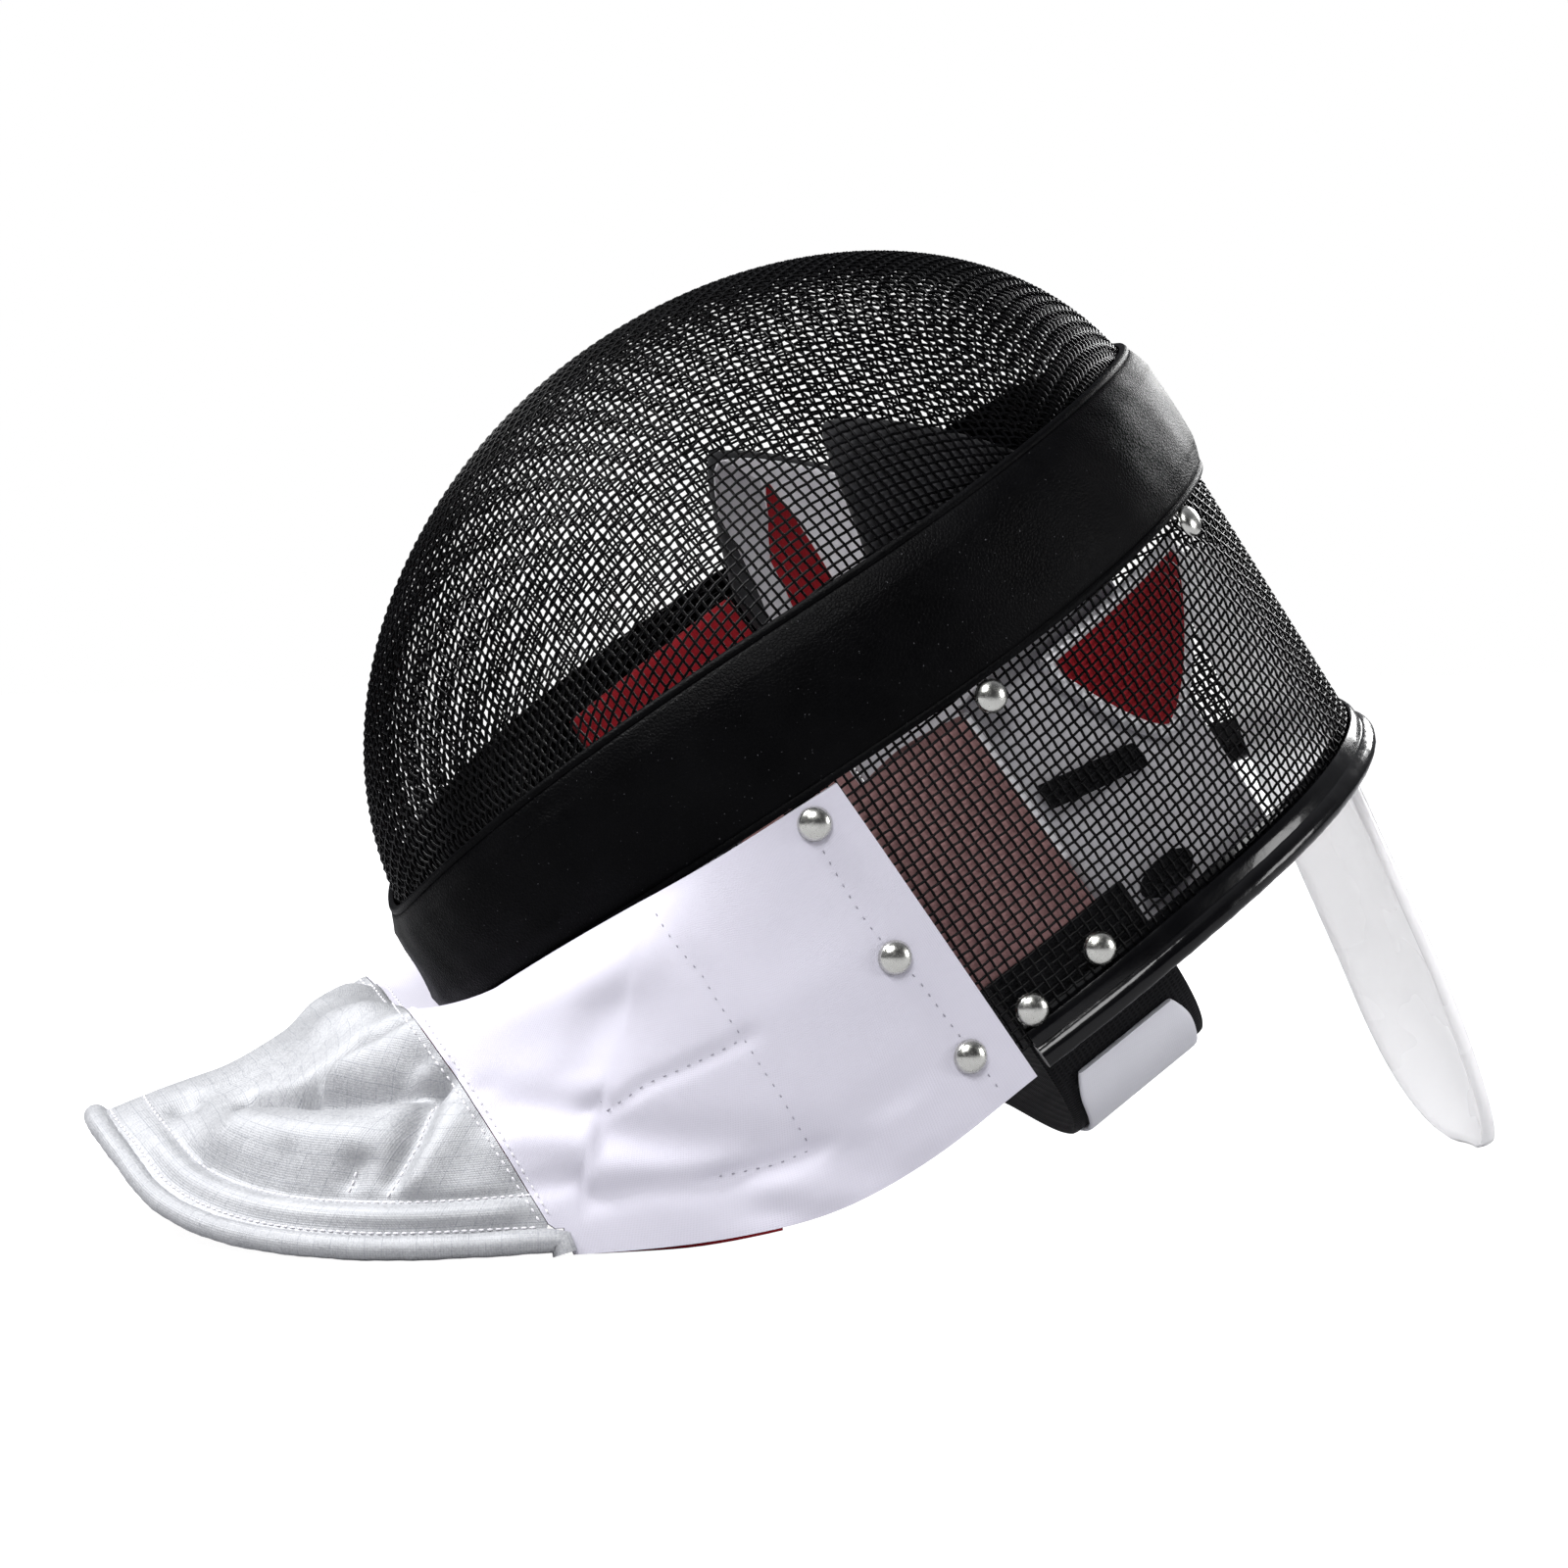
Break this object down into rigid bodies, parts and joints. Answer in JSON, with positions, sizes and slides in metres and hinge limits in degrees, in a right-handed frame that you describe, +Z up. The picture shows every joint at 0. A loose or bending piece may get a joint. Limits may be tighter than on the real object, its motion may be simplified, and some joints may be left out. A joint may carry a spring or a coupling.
{
  "type": "fencing mask",
  "caption": "Fencing mask with a woven wire dome, leather-look trim band, white bib with a silver conductive front, elastic strap and white rear tongue, resting tipped back on bib and tongue.",
  "frame": {"origin": "centre of the bounding box on the floor it rests on", "axes": "+X to the wearer's left, -Y the way the face looks along the floor, +Z up"},
  "size_m": [0.2132, 0.4414, 0.2847],
  "materials": {
    "wire": "black painted steel wire",
    "trim": "fine grained black leather-look trim",
    "rubber": "smooth black vinyl",
    "white": "plain white weave",
    "lame": "silver conductive ripstop weave",
    "red": "deep red lining",
    "pink": "dusty pink padded fabric",
    "pad": "off-white padded fabric",
    "tab": "black elastic webbing",
    "plastic": "smooth white plastic",
    "chrome": "polished dome head"
  },
  "bodies": {
    "root": {"bib_collar": "white", "bib_front": "lame", "bib_lining": "red", "cheek_pad_l": "red", "cheek_pad_r": "red", "front_mesh": "wire", "grip_spot_l": "tab", "grip_spot_r": "tab", "grip_tab_l": "tab", "grip_tab_r": "tab", "hem_binding": "lame", "leaf_pad_l": "red", "leaf_pad_r": "red", "rear_mesh": "wire", "rear_pad_l": "pad", "rear_pad_r": "pad", "rim_piping": "rubber", "rivet_band_crown_l": "chrome", "rivet_band_crown_r": "chrome", "rivet_band_side_l": "chrome", "rivet_band_side_r": "chrome", "rivet_bib_front_l": "chrome", "rivet_bib_front_r": "chrome", "rivet_bib_middle_l": "chrome", "rivet_bib_middle_r": "chrome", "rivet_bib_rear_l": "chrome", "rivet_bib_rear_r": "chrome", "rivet_strap_high_l": "chrome", "rivet_strap_high_r": "chrome", "rivet_strap_low_l": "chrome", "rivet_strap_low_r": "chrome", "side_panel_l": "pink", "side_panel_r": "pink", "strap": "tab", "strap_patch_l": "white", "strap_patch_r": "white", "temple_pad_l": "pad", "temple_pad_r": "pad", "tongue": "plastic", "trim_band": "trim"}
  },
  "joints": []
}
